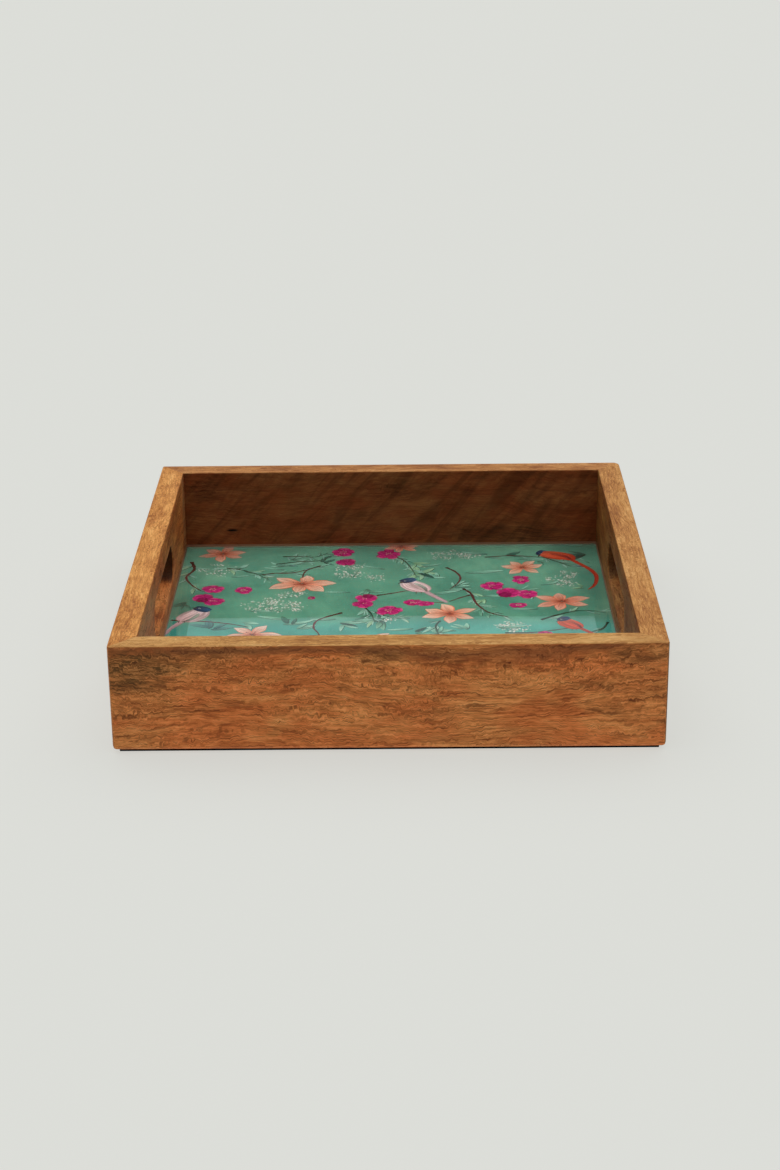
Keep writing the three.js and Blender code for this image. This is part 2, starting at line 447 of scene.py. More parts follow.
def woodMaterial(name, values):
    material, tree, shader = newMaterial(name)
    place = objectPlace(tree, values["turn"], values["shift"])
    inputs = {"Vector": place, "Curl": values["curl"]}
    if "streak" in values:
        inputs["Streak Height"], inputs["Streak Width"] = values["streak"]
    wood = placeGroup(tree, curlyWood, inputs)
    swing = times(tree, minus(tree, wood["Tone"], 0.49), values["contrast"])
    strands = times(tree, minus(tree, wood["Fibre"], 0.5), values["strands"])
    colour = ramp(tree, plus(tree, 0.5, plus(tree, swing, strands)), woodStops)
    # golden and reddish areas
    hue = remap(tree, noiseAt(tree, place, (0.022, 0.05, 0.055), 3.0, 0.6, 0.4), 0.36, 0.64)
    hue = blendColours(tree, hue, woodTints["redder"], woodTints["golden"])
    colour = tinted(tree, colour, hue)
    if "streak" in values:
        streak = times(tree, wood["Streak"], values["streakDepth"])
        colour = blendColours(tree, streak, colour, woodTints["streak"])
    grainy = remap(tree, wood["Fibre"], 0.58, 0.40, 0.45, 1.0)
    for centre, size, strength, tint in values["spots"]:
        mask = placeGroup(tree, spot, {"Vector": place, "Centre": centre, "Size": size})["Mask"]
        mask = times(tree, mask, times(tree, grainy, strength))
        colour = blendColours(tree, mask, colour, tint)
    seams = times(tree, wood["Lines"], values["lines"])
    colour = blendColours(tree, seams, colour, woodTints["seam"])
    if "knot" in values:
        centre, size = values["knot"]
        inputs = {"Vector": place, "Centre": centre, "Size": size, "Ragged": 0.08}
        mask = placeGroup(tree, spot, inputs)["Mask"]
        colour = blendColours(tree, mask, colour, woodTints["knot"])
    if "slant" in values:  # dark figure that runs askew through the board
        inputs = {"Vector": place, "Rotation": (0, values["slant"], 0)}
        turned = putNode(tree, "ShaderNodeMapping", inputs).outputs[0]
        figure = noiseAt(tree, turned, (0.018, 0.05, 0.10), 4.0, 0.62, 0.9)
        shade = remap(tree, figure, 0.42, 0.68, 1.08, 0.64)
        colour = tinted(tree, colour, grey(tree, shade))
    # painted light and shade: the gain makes the front wall's faces brighter and the back and right
    # walls' darker
    colour = tinted(tree, colour, values["gain"])
    sideways, forward, level = partsOf(tree, coordsOf(tree))
    sideways, forward = (calc(tree, "ABSOLUTE", way) for way in (sideways, forward))
    outward = calc(tree, "MAXIMUM", sideways, forward)
    # painted highlight: a pale line on the wood just above the resin's edge, where the resin's
    # meniscus catches light
    meniscusGlint = within(tree, (outward, *markLimits["glintOut"]), (level, *markLimits["glintUp"]))
    colour = blendColours(tree, times(tree, meniscusGlint, 0.8), colour, woodTints["meniscusGlint"])
    if "slotEnds" in values:  # painted shade: the far end of the slot is darkened where shade falls inside it
        slotShade = within(
            tree,
            (outward, *markLimits["slotInner"]),
            (outward, *markLimits["slotOuter"]),
            (forward, *markLimits["slotAlong"]),
            (level, *markLimits["slotBelow"]),
        )
        slotShade = times(tree, slotShade, calc(tree, "LESS_THAN", forward, slotEnd))
        slotShade = times(tree, slotShade, values["slotEnds"])
        colour = blendColours(tree, slotShade, colour, woodTints["slotEnd"])
    # top edges show the same grain, lighter: partly sanded wood, partly a painted highlight where
    # light falls on the upward faces
    grain = minus(tree, weigh(tree, wood["Tone"], 0.45, wood["Fibre"], 0.55), 0.5)
    rim = ramp(tree, plus(tree, 0.5, times(tree, grain, 1.9)), rimStops)
    rim = blendColours(tree, times(tree, wood["Lines"], 0.6), rim, woodTints["rimSeam"])
    rim = tinted(tree, rim, values["rim"])
    upward = partsOf(tree, putNode(tree, "ShaderNodeNewGeometry").outputs["Normal"])[2]
    sandedAndLitTop = within(tree, (upward, 0.55, 0.95), (level, *markLimits["rimUp"]))
    colour = blendColours(tree, sandedAndLitTop, colour, rim)
    wear = placeGroup(tree, edgeWear, {"Vector": place})["Mask"]
    colour = blendColours(tree, times(tree, wear, 0.3), colour, woodTints["worn"])
    feed(tree, shader.inputs["Base Color"], colour)
    gloss = plus(tree, 0.42, times(tree, wood["Fibre"], 0.16))
    gloss = plus(tree, gloss, times(tree, wood["Lines"], 0.2))
    feed(tree, shader.inputs["Roughness"], gloss)
    shader.inputs["Specular IOR Level"].default_value = 0.12
    addBump(tree, shader, wood["Height"], 0.35, 0.0004)
    return material


# walls
wallValues = {
    "footRound": 4.4 * mm,
    "rimRound": 0.9 * mm,
    "innerChamfer": 0.3 * mm,
    "cornerRounds": {"right_wall": (2.6 * mm, 6.2 * mm), "back_wall": (6.2 * mm, 2.6 * mm)},
    "cornerRound": 2.6 * mm,  # the ones not listed
    "cornerFacets": (7.5, 22.5, 37.5),  # degrees from the wall's outer face
    "mitreSeam": 0.008 * mm,
    "overrun": 2 * mm,  # how much longer the board is before its mitres are cut
    "rebateDepth": 5 * mm,
    "rebateHeight": 8 * mm,
    "slotHalfLength": 55 * mm,
    "slotRadius": 12 * mm,
    "slotRise": 34 * mm,
    "slotEdge": 1.3 * mm,
    "slotSegments": 20,
    "slotStart": 4 * mm,  # how far outside the wall the cut starts
    "slotThrough": 23 * mm,
    "mouthAngle": 1.2,  # edges sharper than this, in radians, are the slot's rims
    "feltThickness": 1.2 * mm,
}
near = 1e-6


def asObject(name, shape, materials=()):
    mesh = bpy.data.meshes.new(name)
    shape.normal_update()
    shape.to_mesh(mesh)
    shape.free()
    for material in materials:
        mesh.materials.append(material)
    made = bpy.data.objects.new(name, mesh)
    bpy.context.scene.collection.objects.link(made)
    return made


def bakeModifiers(made):
    evaluated = made.evaluated_get(bpy.context.evaluated_depsgraph_get())
    mesh = bpy.data.meshes.new_from_object(evaluated)
    made.modifiers.clear()
    made.data = mesh


def shadeByAngle(made, degrees=32):
    mesh = made.data
    mesh.shade_smooth()
    shape = bmesh.new()
    shape.from_mesh(mesh)
    for edge in shape.edges:
        edge.smooth = len(edge.link_faces) == 2 and edge.calc_face_angle(4) < math.radians(degrees)
    shape.to_mesh(mesh)
    shape.free()


def cutPlane(shape, point, normal, dist=1e-7):
    every = shape.verts[:] + shape.edges[:] + shape.faces[:]
    cut = bmesh.ops.bisect_plane(
        shape, geom=every, dist=dist, plane_co=point, plane_no=normal, clear_outer=True
    )
    return [item for item in cut["geom_cut"] if isinstance(item, bmesh.types.BMEdge)]


def bevelEdges(shape, edges, offset, segments):
    bmesh.ops.bevel(
        shape, geom=edges, offset=offset, offset_type="OFFSET", segments=segments,
        profile=0.5, affect="EDGES", material=-1, clamp_overlap=True,
    )


def pullOut(shape, faces, way):
    grown = bmesh.ops.extrude_face_region(shape, geom=faces)
    ends = [item for item in grown["geom"] if isinstance(item, bmesh.types.BMVert)]
    bmesh.ops.translate(shape, verts=ends, vec=way)
    bmesh.ops.recalc_face_normals(shape, faces=shape.faces)


def flatSquare(half, level):
    shape = bmesh.new()
    bmesh.ops.create_grid(shape, x_segments=1, y_segments=1, size=half)
    bmesh.ops.translate(shape, verts=shape.verts, vec=(0, 0, level))
    return shape


def slotCutter(values, outer):
    shape = bmesh.new()
    sides, radius = 2 * values["slotSegments"], values["slotRadius"]
    bmesh.ops.create_circle(shape, segments=sides, radius=radius, cap_ends=True)
    reach = values["slotHalfLength"] - radius
    for vert in shape.verts:
        if abs(vert.co.x) > near:
            vert.co.x += math.copysign(reach, vert.co.x)
    bmesh.ops.rotate(shape, verts=shape.verts, matrix=Matrix.Rotation(math.pi / 2, 3, "X"))
    rise = cadLow.z + values["feltThickness"] + values["slotRise"]
    start = Vector((0, outer - values["slotStart"], rise))
    bmesh.ops.translate(shape, verts=shape.verts, vec=start)
    pullOut(shape, shape.faces[:], (0, values["slotThrough"], 0))
    return asObject("slotCutter", shape)


def makeWall(node, turn, hasSlot, values):
    low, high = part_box("front_wall")  # every wall is this one, turned
    side = cadHigh.x
    outer, inner, foot, rim = low.y, high.y, low.z, high.z
    step, ledge = inner - values["rebateDepth"], foot + values["rebateHeight"]
    shape = bmesh.new()
    corners = [(outer, foot), (step, foot), (step, ledge)]
    corners += [(inner, ledge), (inner, rim), (outer, rim)]
    start = -side - values["overrun"]
    section = shape.faces.new([shape.verts.new((start, y, z)) for y, z in corners])
    pullOut(shape, [section], (2 * side + 2 * values["overrun"], 0, 0))

    def isAt(edge, value, axis="y"):
        return all(abs(getattr(v.co, axis) - value) < near for v in edge.verts)

    def longEdges(y, z):
        return [e for e in shape.edges if isAt(e, y) and isAt(e, z, "z")]

    bevelEdges(shape, longEdges(outer, foot), values["footRound"], 6)
    bevelEdges(shape, longEdges(outer, rim) + longEdges(inner, rim), values["rimRound"], 4)
    ledgeEdges = longEdges(inner, ledge) + longEdges(step, foot)
    bevelEdges(shape, ledgeEdges, values["innerChamfer"], 1)
    wall = asObject(node + "_wood", shape)
    if hasSlot:
        cutter = slotCutter(values, outer)
        cut = wall.modifiers.new("slot", "BOOLEAN")
        cut.object, cut.operation, cut.solver = cutter, "DIFFERENCE", "EXACT"
        bakeModifiers(wall)
        bpy.data.objects.remove(cutter)
    shape = bmesh.new()
    shape.from_mesh(wall.data)
    if hasSlot:
        bmesh.ops.remove_doubles(shape, verts=shape.verts, dist=near)
        reach = values["slotHalfLength"] + 10 * near
        mouth = [
            e for e in shape.edges
            if all(abs(v.co.x) < reach for v in e.verts)
            and (isAt(e, outer) or isAt(e, inner))
            and e.calc_face_angle(0) > values["mouthAngle"]
        ]
        bevelEdges(shape, mouth, values["slotEdge"], 4)
    radii = values["cornerRounds"].get(node, (values["cornerRound"],) * 2)
    for end, radius in zip((-1, 1), radii):
        point = Vector((end * (side - values["mitreSeam"]), outer, 0))
        cuts = [(point, Vector((end, 1, 0)).normalized())]
        centre = Vector((end * (side - radius), outer + radius, 0))
        for angle in values["cornerFacets"]:
            angle = math.radians(angle)
            way = Vector((end * math.sin(angle), -math.cos(angle), 0))
            cuts.append((centre + way * radius, way))
        for point, way in cuts:
            bmesh.ops.holes_fill(shape, edges=cutPlane(shape, point, way), sides=0)
    bmesh.ops.rotate(shape, verts=shape.verts, matrix=Matrix.Rotation(turn, 3, "Z"))
    shape.normal_update()
    shape.to_mesh(wall.data)
    shape.free()
    wall.data.materials.clear()
    wall.data.materials.append(woodMaterial(node + "_wood", wallWood[node]))
    shadeByAngle(wall)
    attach(wall, "root")
    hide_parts(node)
    return wall


for node, turn, hasSlot, slotName in (
    ("front_wall", 0.0, False, "front_wood"),
    ("right_wall", math.pi / 2, True, "side_wood"),
    ("back_wall", math.pi, False, "back_wood"),
    ("left_wall", -math.pi / 2, True, "side_wood"),
):
    makeWall(node, turn, hasSlot, wallValues)
print("walls: four, two with a hand slot")


# print, laid on the base board in thin layers of paint
sheetLow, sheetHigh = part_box("printed_sheet")
sheetHalf = sheetHigh.x
sheetTop = sheetHigh.z


def paintWashGroup():
    tree, entry, end = newGroup(
        "paintWash",
        [("Colour", "Color", (1, 1, 1, 1)), ("Vector", "Vector", None), ("Depth", "Float", 0.3)],
        [("Colour", "Color")],
    )
    clouds = noiseAt(tree, entry["Vector"], 0.09, 4.0, 0.6, 0.4)
    grain = noiseAt(tree, entry["Vector"], 2.2, 2.0, 0.6)
    strokes = noiseAt(tree, entry["Vector"], (0.9, 0.12, 1), 3.0, 0.6)
    mixed = plus(tree, weigh(tree, clouds, 0.5, strokes, 0.35), times(tree, grain, 0.15))
    swing = times(tree, minus(tree, mixed, 0.5), entry["Depth"])
    gain = grey(tree, plus(tree, 1.0, times(tree, swing, 3.0)))
    feed(tree, end["Colour"], calcVector(tree, "MULTIPLY", entry["Colour"], gain))
    return tree


paintWash = paintWashGroup()


def finishPaint(tree, shader, place, colour, depth, matt):
    washed = placeGroup(tree, paintWash, {"Colour": colour, "Vector": place, "Depth": depth})
    feed(tree, shader.inputs["Base Color"], washed["Colour"])
    roughness = remap(tree, noiseAt(tree, place, matt), 0.3, 0.7, 0.6, 0.72)
    feed(tree, shader.inputs["Roughness"], roughness)
    shader.inputs["Specular IOR Level"].default_value = 0.0


# limits are in millimetres from the middle of the sheet towards the back
sheetValues = {
    "teal": [
        (0.32, (0.078, 0.275, 0.190)),
        (0.5, (0.108, 0.345, 0.232)),
        (0.68, (0.155, 0.425, 0.280)),
    ],
    # painted reflection: the lighter aqua over the front of the sheet is the pale surroundings
    # mirrored in the resin
    "reflectedAqua": [(0.35, (0.045, 0.330, 0.270)), (0.65, (0.095, 0.480, 0.400))],
    "reflectedAquaLimits": (26.0, 2.0),
    "paler": (1.42, 1.24, 1.26),
    "palerLimits": (50.0, 118.0),
}


def sheetMaterial(values):
    material, tree, shader = newMaterial("tealPrint")
    place = objectPlace(tree)
    clouds = noiseAt(tree, place, 0.022, 3.0, 0.55, 0.5)
    colour = ramp(tree, clouds, values["teal"])
    back = plus(tree, partsOf(tree, place)[1], times(tree, clouds, 12.0))
    paler = calcVector(tree, "MULTIPLY", colour, values["paler"])
    colour = blendColours(tree, remap(tree, back, *values["palerLimits"]), colour, paler)
    # painted reflection of the pale surroundings in the resin, lighter aqua towards the front
    front = remap(tree, back, *values["reflectedAquaLimits"], 0.0, 0.85)
    colour = blendColours(tree, front, colour, ramp(tree, clouds, values["reflectedAqua"]))
    finishPaint(tree, shader, place, colour, 0.16, 0.5)
    return material


# how each kind of motif is shaded; lift is its height over the sheet in millimetres
ribTint = (0.45, 0.10, 0.06)
motifLooks = {
    "spray": {"lift": 0.008, "vein": 0.0, "rib": 0.0, "edge": 0.10, "depth": 0.14},
    "leaf": {"lift": 0.025, "vein": 0.22, "rib": 0.35, "edge": 0.15, "depth": 0.22},
    "twig": {"lift": 0.042, "vein": 0.10, "rib": 0.0, "edge": 0.35, "depth": 0.30},
    "blossom": {"lift": 0.059, "vein": 0.35, "rib": 0.0, "edge": 0.22, "depth": 0.16},
    "petal": {"lift": 0.059, "vein": 0.30, "rib": 0.12, "edge": -0.10, "depth": 0.14},
    "feather": {"lift": 0.078, "vein": 0.40, "rib": 0.08, "edge": 0.18, "depth": 0.14},
}
motifLooks["leaf"]["ribTint"] = (0.02, 0.05, 0.035)


# across is -1 to 1 over a stroke's width, along is 0 to 1 from its root to its tip
def motifMaterial(kind, values):
    material, tree, shader = newMaterial(kind + "Paint")
    place = objectPlace(tree)
    colour = putNode(tree, "ShaderNodeAttribute", attribute_name="paint").outputs["Color"]
    stroke = putNode(tree, "ShaderNodeAttribute", attribute_name="stroke").outputs["Vector"]
    across, along, seed = partsOf(tree, stroke)
    side = calc(tree, "ABSOLUTE", across)
    vein = values["vein"]
    if vein:
        parts = {0: times(tree, across, 5.0), 1: times(tree, along, 1.2)}
        parts[2] = times(tree, seed, 40.0)
        lines = putNode(tree, "ShaderNodeCombineXYZ", parts).outputs[0]
        veins = noiseAt(tree, lines, 1.0, 2.0, 0.6)
        veins = remap(tree, veins, 0.35, 0.65, 1.0 - vein, 1.0 + 0.4 * vein)
        colour = tinted(tree, colour, grey(tree, veins))
    if values["rib"]:
        rib = times(tree, remap(tree, side, 0.14, 0.0), values["rib"])
        colour = blendColours(tree, rib, colour, values.get("ribTint", ribTint))
    edge = remap(tree, side, 0.55, 1.0, 1.0, 1.0 - values["edge"])
    colour = tinted(tree, colour, grey(tree, edge))
    finishPaint(tree, shader, place, colour, values["depth"], 0.6)
    return material


class Layer:
    def __init__(self, lift):
        self.lift = lift
        self.shape = bmesh.new()
        self.paint = self.shape.verts.layers.float_color.new("paint")
        self.stroke = self.shape.verts.layers.float_vector.new("stroke")
        self.count = 0

    def nextLift(self):  # each stroke lies a hair higher than the one before
        self.count += 1
        return sheetTop + self.lift + (self.count % 40) * 0.0004 * mm


# place and direction on a smooth curve through the points, t running from 0 to 1
def alongCurve(points, t):
    spans = len(points) - 1
    i = min(int(t * spans), spans - 1)
    s = t * spans - i
    a = points[max(i - 1, 0)]
    b, c = points[i], points[i + 1]
    d = points[min(i + 2, spans)]
    m, n = (c - a) / 2, (d - b) / 2
    place = b * (2 * s**3 - 3 * s**2 + 1) + m * (s**3 - 2 * s**2 + s)
    place = place + c * (3 * s**2 - 2 * s**3) + n * (s**3 - s**2)
    way = b * (6 * s**2 - 6 * s) + m * (3 * s**2 - 4 * s + 1)
    way = way + c * (6 * s - 6 * s**2) + n * (3 * s**2 - 2 * s)
    return place, (way.normalized() if way.length > 1e-9 else Vector((1, 0)))


def mixTint(a, b, t):
    t = min(max(t, 0), 1)
    return [p + (q - p) * t for p, q in zip(a, b)]


def shaded(tints, shade):
    return [tuple(v * shade for v in tint) for tint in tints]


# one painted stroke: a strip that follows points, as wide as widths says, shaded through tints
def addStroke(kind, points, widths, tints, rows, columns):
    layer = layers[kind]
    points = [Vector(p[:2]) for p in points]
    made = bmesh.ops.create_grid(layer.shape, x_segments=columns, y_segments=rows, size=0.5)
    height, seed = layer.nextLift(), dice.random()
    for vert in made["verts"]:
        across, along = 2 * vert.co.x, vert.co.y + 0.5
        middle, way = alongCurve(points, along)
        half = widths(along) if callable(widths) else widths
        place = middle + Vector((-way.y, way.x)) * across * -half
        vert.co = Vector((place.x * mm, place.y * mm, height))
        step = along * (len(tints) - 1)
        index = min(int(step), len(tints) - 2)
        vert[layer.paint] = (*mixTint(tints[index], tints[index + 1], step - index), 1)
        vert[layer.stroke] = (across, along, seed)


def addDot(kind, place, radius, tint, sides, squash=1.0):
    layer = layers[kind]
    made = bmesh.ops.create_circle(layer.shape, cap_ends=True, segments=sides, radius=radius * mm)
    height, seed = layer.nextLift(), dice.random()
    for vert in made["verts"]:
        reach = vert.co.copy()
        vert.co = Vector((place[0] * mm + reach.x, place[1] * mm + reach.y * squash, height))
        vert[layer.paint] = (*tint, 1)
        vert[layer.stroke] = (0.5, 0.5, seed)


layers = {kind: Layer(values["lift"] * mm) for kind, values in motifLooks.items()}


def leafWidth(width):
    return lambda t: width * max(math.sin(math.pi * t**0.8), 0) ** 0.9 + 0.05


def petalWidth(width):
    def half(t):
        swell = 0.22 + 0.78 * math.sin(math.pi * min(t / 1.12, 1)) ** 1.2
        return width * swell * (1 - max(t - 0.6, 0) ** 1.5 * 3.9) + 0.03

    return half


def blossomWidth(width, i):
    def half(t):
        wave = 1 + 0.10 * math.sin(t * 17 + i * 2)
        swell = math.sin(math.pi * min(t * 0.80 + 0.10, 1)) ** 0.7
        return width * wave * swell * (1 - max(t - 0.82, 0) ** 2 * 14) + 0.04

    return half


def taper(thick, thin=0.03):
    return lambda t: thick * (1 - t) + thin


def polar(place, angle, reach):
    return Vector((place[0] + math.cos(angle) * reach, place[1] + math.sin(angle) * reach))


def flattened(place, angle, reach, squash):
    offset = polar((0, 0), angle, reach)
    return (place[0] + offset[0], place[1] + offset[1] * squash)


# colours of a petal from root to tip
lilyTints = {
    "peach": [(0.50, 0.10, 0.06), (0.92, 0.40, 0.25), (0.97, 0.57, 0.40), (0.98, 0.72, 0.56)],
    "coral": [(0.46, 0.08, 0.05), (0.90, 0.32, 0.20), (0.95, 0.46, 0.32), (0.96, 0.60, 0.46)],
    "pale": [(0.66, 0.20, 0.12), (0.95, 0.50, 0.36), (0.97, 0.66, 0.52), (0.98, 0.80, 0.69)],
}
lilyValues = {
    "petals": 6,
    "outline": (0.80, 0.20, 0.10),
    "throat": (0.26, 0.030, 0.022),
    "fold": (0.62, 0.13, 0.07),
    "thread": (0.70, 0.32, 0.18),
    "anther": (0.15, 0.025, 0.022),
}


def addLily(place, reach, turn, squash, tint):
    tints, values, count = lilyTints[tint], lilyValues, lilyValues["petals"]
    for i in sorted(range(count), key=lambda i: i % 2):
        angle = turn + 2 * math.pi * i / count + dice.uniform(-0.16, 0.16)
        length = reach * dice.uniform(0.95, 1.15)
        bend = dice.uniform(-0.22, 0.22)
        spine = [
            flattened(place, angle + bend * t * t, length * t, squash)
            for t in (0.05, 0.36, 0.7, 1.0)
        ]
        width = reach * dice.uniform(0.18, 0.22) * (0.75 + 0.25 * squash)
        shade = dice.uniform(0.88, 1.04)
        wider = petalWidth(width * 1.13)
        addStroke("petal", spine, lambda t: wider(t) + 0.12, [values["outline"]] * 2, 12, 4)
        addStroke("petal", spine, petalWidth(width), shaded(tints, shade), 12, 6)
        inner = [spine[0], flattened(place, angle, length * 0.25, squash), spine[1]]
        addStroke("petal", inner, taper(reach * 0.045, 0.05), [values["throat"], tints[1]], 4, 2)
        for k in (-1, 1):
            start = flattened(place, angle + 0.05 * k, length * 0.16, squash)
            aim = angle + bend * 0.4 + 0.075 * k
            tip = flattened(place, aim, length * dice.uniform(0.6, 0.75), squash)
            addStroke("petal", [start, tip], taper(0.22), [values["fold"], tints[2]], 4, 1)
    for i in range(6):
        angle = turn + 1.1 + i * 1.05 + dice.uniform(-0.2, 0.2)
        tip = flattened(place, angle, reach * dice.uniform(0.22, 0.36), squash)
        middle = ((place[0] + tip[0]) / 2 + 0.3, (place[1] + tip[1]) / 2)
        addStroke("petal", [place, middle, tip], 0.16, [values["throat"], values["thread"]], 4, 1)
        addDot("petal", tip, 0.55, values["anther"], 7, 0.8)


blossomValues = {
    "petals": 5,
    "tint": (0.70, 0.026, 0.215),
    "light": (0.96, 0.30, 0.48),
    "thread": (0.95, 0.60, 0.50),
    "anther": (0.96, 0.70, 0.46),
}


def addBlossom(place, reach, turn, squash):
    values, count, tint = blossomValues, blossomValues["petals"], blossomValues["tint"]
    dark = tuple(v * 0.45 for v in tint)
    middle = mixTint(dark, tint, 0.5)
    light = mixTint(tint, values["light"], 0.5)
    for i in range(count):
        angle = turn + 2 * math.pi * i / count + dice.uniform(-0.15, 0.15)
        length = reach * dice.uniform(0.88, 1.12)
        spine = [flattened(place, angle, length * t, squash) for t in (0.0, 0.4, 0.75, 1.0)]
        ruffled = blossomWidth(reach * dice.uniform(0.42, 0.5), i)
        tints = shaded((middle, tint, tint, light), dice.uniform(0.8, 1.12))
        addStroke("blossom", spine, lambda t: ruffled(t) + 0.3, [dark, dark], 12, 6)
        addStroke("blossom", spine, ruffled, tints, 12, 6)
    for i in range(9):
        tip = flattened(place, turn + i * 0.7, reach * dice.uniform(0.16, 0.42), squash)
        addStroke("blossom", [place, tip], 0.11, [dark, values["thread"]], 2, 1)
        addDot("blossom", tip, 0.30, values["anther"], 6)


leafTints = [
    [(0.05, 0.17, 0.11), (0.16, 0.42, 0.28), (0.30, 0.62, 0.42)],
    [(0.10, 0.30, 0.21), (0.30, 0.62, 0.45), (0.50, 0.82, 0.64)],
    [(0.03, 0.11, 0.085), (0.06, 0.22, 0.16), (0.10, 0.32, 0.22)],
    [(0.16, 0.36, 0.19), (0.38, 0.62, 0.36), (0.55, 0.78, 0.50)],
    [(0.04, 0.15, 0.15), (0.08, 0.28, 0.26), (0.16, 0.42, 0.36)],
]
leafShadow = [(0.015, 0.07, 0.06), (0.03, 0.13, 0.10)]
leafRib = [(0.02, 0.09, 0.075), (0.10, 0.30, 0.24)]
leafLight = [(0.16, 0.40, 0.30), (0.62, 0.86, 0.72)]
twigTints = {
    "bark": [(0.050, 0.014, 0.016), (0.17, 0.035, 0.045), (0.075, 0.030, 0.028)],
    "green": [(0.014, 0.045, 0.036), (0.030, 0.095, 0.065), (0.07, 0.19, 0.13)],
}
twigTip = 0.3  # half its width in millimetres, before the bark's swelling


def addLeaf(place, angle, length, tint=None, width=None):
    index = dice.choice((0, 0, 1, 1, 2, 3, 4)) if tint is None else tint
    bend = dice.uniform(-0.35, 0.35)
    spine = [polar(place, angle + bend * t, length * t) for t in (0.0, 0.35, 0.7, 1.0)]
    half = width or length * dice.uniform(0.10, 0.16)
    shadow = [p + Vector((0.35, -0.45)) for p in spine]
    addStroke("leaf", shadow, leafWidth(half * 1.05), leafShadow, 8, 2)
    addStroke("leaf", spine, leafWidth(half), leafTints[index], 10, 4)


def addTwig(points, thick, tint, leaves):
    points = [Vector(p) for p in points]
    whole = sum((b - a).length for a, b in zip(points, points[1:]))

    def knobbly(t):
        return 1.35 * (thick * (1 - t) + twigTip * t) * (1 + 0.18 * math.sin(t * whole * 0.9))

    addStroke("twig", points, knobbly, twigTints[tint], max(int(whole / 2.2), 6), 2)
    if not leaves:
        return
    count = int(1.3 * whole / leaves)
    for i in range(count):
        place, way = alongCurve(points, min((i + dice.uniform(0.3, 0.9)) / max(count, 1), 1))
        side = 1 if i % 2 else -1
        angle = math.atan2(way.y, way.x) + side * dice.uniform(0.35, 0.9)
        length = dice.uniform(7, 14)
        addLeaf(place, angle, length, width=length * dice.uniform(0.085, 0.125))
        for k in range(2):
            tip = polar(place, angle + dice.uniform(-0.5, 0.5), length * dice.uniform(0.5, 0.95))
            addStroke("leaf", [place, tip], leafWidth(0.32), leafLight, 6, 1)


sprayValues = {
    "petal": (0.86, 0.82, 0.72),
    "stalk": [(0.03, 0.12, 0.09), (0.12, 0.32, 0.22)],
    "heart": (0.66, 0.30, 0.24),
    "bud": (0.60, 0.74, 0.58),
}


def addSpray(place, spread, count, height):
    values = sprayValues
    for i in range(count):
        angle = dice.uniform(0, 2 * math.pi)
        reach = spread * math.sqrt(dice.random())
        up = math.sin(angle) * reach * height / spread
        head = (place[0] + math.cos(angle) * reach, place[1] + up)
        lean = (head[0] - place[0]) * 0.35
        root = (place[0] + lean + dice.uniform(-1, 1), place[1] - height * 0.75)
        third = (head[0] * 2 + root[0]) / 3
        middle = (third + dice.uniform(-1.4, 1.4), (head[1] * 2 + root[1]) / 3)
        if i % 2 == 0:
            addStroke("spray", [root, middle, head], 0.10, values["stalk"], 6, 1)
        for k in range(dice.randint(2, 4)):
            petal = polar(head, k * 1.9 + dice.uniform(0, 1), dice.uniform(0.9, 2.4))
            fade = dice.uniform(0.7, 1.12)
            tint = tuple(min(v * fade, 0.97) for v in values["petal"])
            addDot("spray", petal, dice.uniform(0.38, 0.78), tint, 7)
        addDot("spray", head, 0.40, values["heart"], 6)
        loose = polar(head, dice.uniform(0, 6.28), dice.uniform(1.5, 4))
        addDot("spray", loose, dice.uniform(0.18, 0.38), values["bud"], 6)
        stray = polar(head, dice.uniform(0, 6.28), dice.uniform(2, 6))
        addDot("spray", stray, dice.uniform(0.22, 0.45), values["petal"], 6)


birdTints = {
    "rose": {
        "head": [(0.015, 0.035, 0.09), (0.03, 0.14, 0.26)],
        "body": [(0.93, 0.72, 0.70), (0.90, 0.62, 0.60), (0.80, 0.50, 0.50)],
        "tail": [(0.80, 0.52, 0.52), (0.70, 0.42, 0.46)],
        "wing": [(0.55, 0.62, 0.50), (0.28, 0.36, 0.30), (0.10, 0.07, 0.08)],
    },
    "red": {
        "head": [(0.012, 0.03, 0.085), (0.025, 0.10, 0.23)],
        "body": [(0.90, 0.16, 0.075), (0.86, 0.11, 0.045), (0.72, 0.06, 0.03)],
        "tail": [(0.70, 0.06, 0.03), (0.52, 0.035, 0.02)],
        "wing": [(0.62, 0.09, 0.05), (0.36, 0.035, 0.03), (0.10, 0.02, 0.03)],
    },
}
beakTints = [(0.10, 0.09, 0.09), (0.04, 0.035, 0.04)]
legTints = [(0.12, 0.06, 0.06), (0.07, 0.04, 0.04)]
eyeTints = [(0.75, 0.72, 0.62), (0.01, 0.01, 0.01)]


